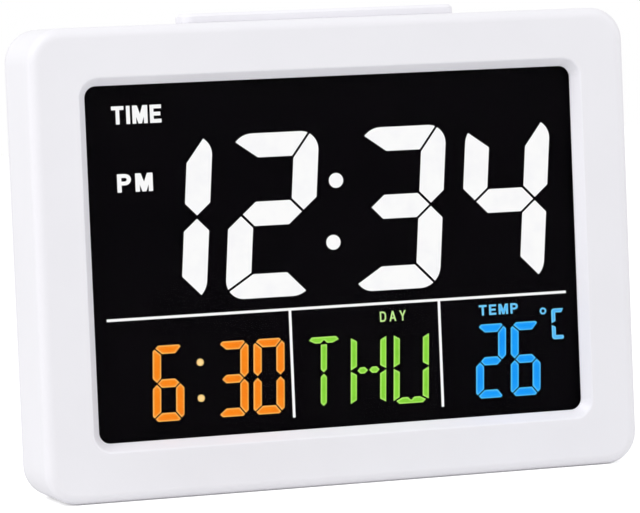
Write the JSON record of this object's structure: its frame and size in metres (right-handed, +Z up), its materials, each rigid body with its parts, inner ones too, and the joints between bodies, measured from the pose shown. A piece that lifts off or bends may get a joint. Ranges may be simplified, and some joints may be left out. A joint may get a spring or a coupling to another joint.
{
  "type": "digital day clock",
  "caption": "White table clock with a bevelled window, a colour segment display for time, alarm, weekday and temperature, a snooze bar, rear buttons and a battery bay.",
  "frame": {"origin": "on the surface the clock stands on, under the middle of the case", "axes": "+X to the right seen from the front, -Y out of the display, +Z up"},
  "size_m": [0.145, 0.0286, 0.1107],
  "materials": {
    "case_plastic": "moulded white plastic, fine satin sheen",
    "button_plastic": "smooth moulded pale plastic",
    "white_plastic": "matt white",
    "black_plastic": "matt black",
    "clear_window": "clear pane, polished",
    "display_glass": "black polarised glass",
    "clear_acrylic": "clear acrylic light guide",
    "film": "printed colour film",
    "lamp": "lamp body with yellow phosphor",
    "contact_rubber": "striped conductive rubber",
    "board": "green solder resist",
    "steel": "plated steel",
    "nickel": "nickel plated spring steel",
    "cell_sleeve": "plain dark sleeve",
    "lit_white": "lit white",
    "lit_orange": "lit orange",
    "lit_green": "lit green",
    "lit_blue": "lit blue"
  },
  "bodies": {
    "case": {"alarm_segments": "lit_orange", "alarm_switch": "steel", "backlight_leds": "lamp", "battery_contacts": "nickel", "battery_springs": "nickel", "buzzer": "black_plastic", "case_screws": "steel", "cell_1": "cell_sleeve", "cell_2": "cell_sleeve", "cell_3": "cell_sleeve", "chip_blob": "black_plastic", "clock_crystal": "steel", "colour_film": "film", "day_segments": "lit_green", "display_screws": "steel", "display_tray": "white_plastic", "display_window": "clear_window", "divider_lines": "lit_white", "front_case": "case_plastic", "inlet_board": "board", "lcd_front_glass": "display_glass", "lcd_rear_glass": "display_glass", "led_strip": "board", "light_guide": "clear_acrylic", "main_board": "board", "power_socket": "steel", "rear_cover": "case_plastic", "reflector_sheet": "white_plastic", "snooze_switches": "black_plastic", "tact_switches": "black_plastic", "temperature_segments": "lit_blue", "temperature_sensor": "black_plastic", "time_segments": "lit_white", "zebra_strip": "contact_rubber"},
    "snooze_bar": {"snooze_bar": "case_plastic"},
    "set_button": {"set_button": "button_plastic"},
    "alarm_button": {"alarm_button": "button_plastic"},
    "up_button": {"up_button": "button_plastic"},
    "down_button": {"down_button": "button_plastic"},
    "light_button": {"light_button": "button_plastic"},
    "battery_door": {"battery_door": "case_plastic"},
    "alarm_slider": {"alarm_slider": "button_plastic", "alarm_switch_lever": "black_plastic"}
  },
  "joints": [
    {"name": "snooze_press", "type": "slide", "parent": "case", "child": "snooze_bar", "axis": [0, 0, -1], "range_m": [0, 0.0009], "stiffness_N_per_m": 1500, "springref_m": -0.0004},
    {"name": "set_press", "type": "slide", "parent": "case", "child": "set_button", "axis": [0, -1, 0], "range_m": [0, 0.0008], "stiffness_N_per_m": 800, "springref_m": -0.0003},
    {"name": "alarm_press", "type": "slide", "parent": "case", "child": "alarm_button", "axis": [0, -1, 0], "range_m": [0, 0.0008], "stiffness_N_per_m": 800, "springref_m": -0.0003},
    {"name": "up_press", "type": "slide", "parent": "case", "child": "up_button", "axis": [0, -1, 0], "range_m": [0, 0.0008], "stiffness_N_per_m": 800, "springref_m": -0.0003},
    {"name": "down_press", "type": "slide", "parent": "case", "child": "down_button", "axis": [0, -1, 0], "range_m": [0, 0.0008], "stiffness_N_per_m": 800, "springref_m": -0.0003},
    {"name": "light_press", "type": "slide", "parent": "case", "child": "light_button", "axis": [0, -1, 0], "range_m": [0, 0.0008], "stiffness_N_per_m": 800, "springref_m": -0.0003},
    {"name": "alarm_slide", "type": "slide", "parent": "case", "child": "alarm_slider", "axis": [1, 0, 0], "range_m": [0, 0.003]},
    {"name": "battery_door_swing", "type": "hinge", "parent": "case", "child": "battery_door", "pos_m": [0, 0.01425, 0.01225], "axis": [-1, 0, 0], "range_deg": [0, 75]}
  ]
}
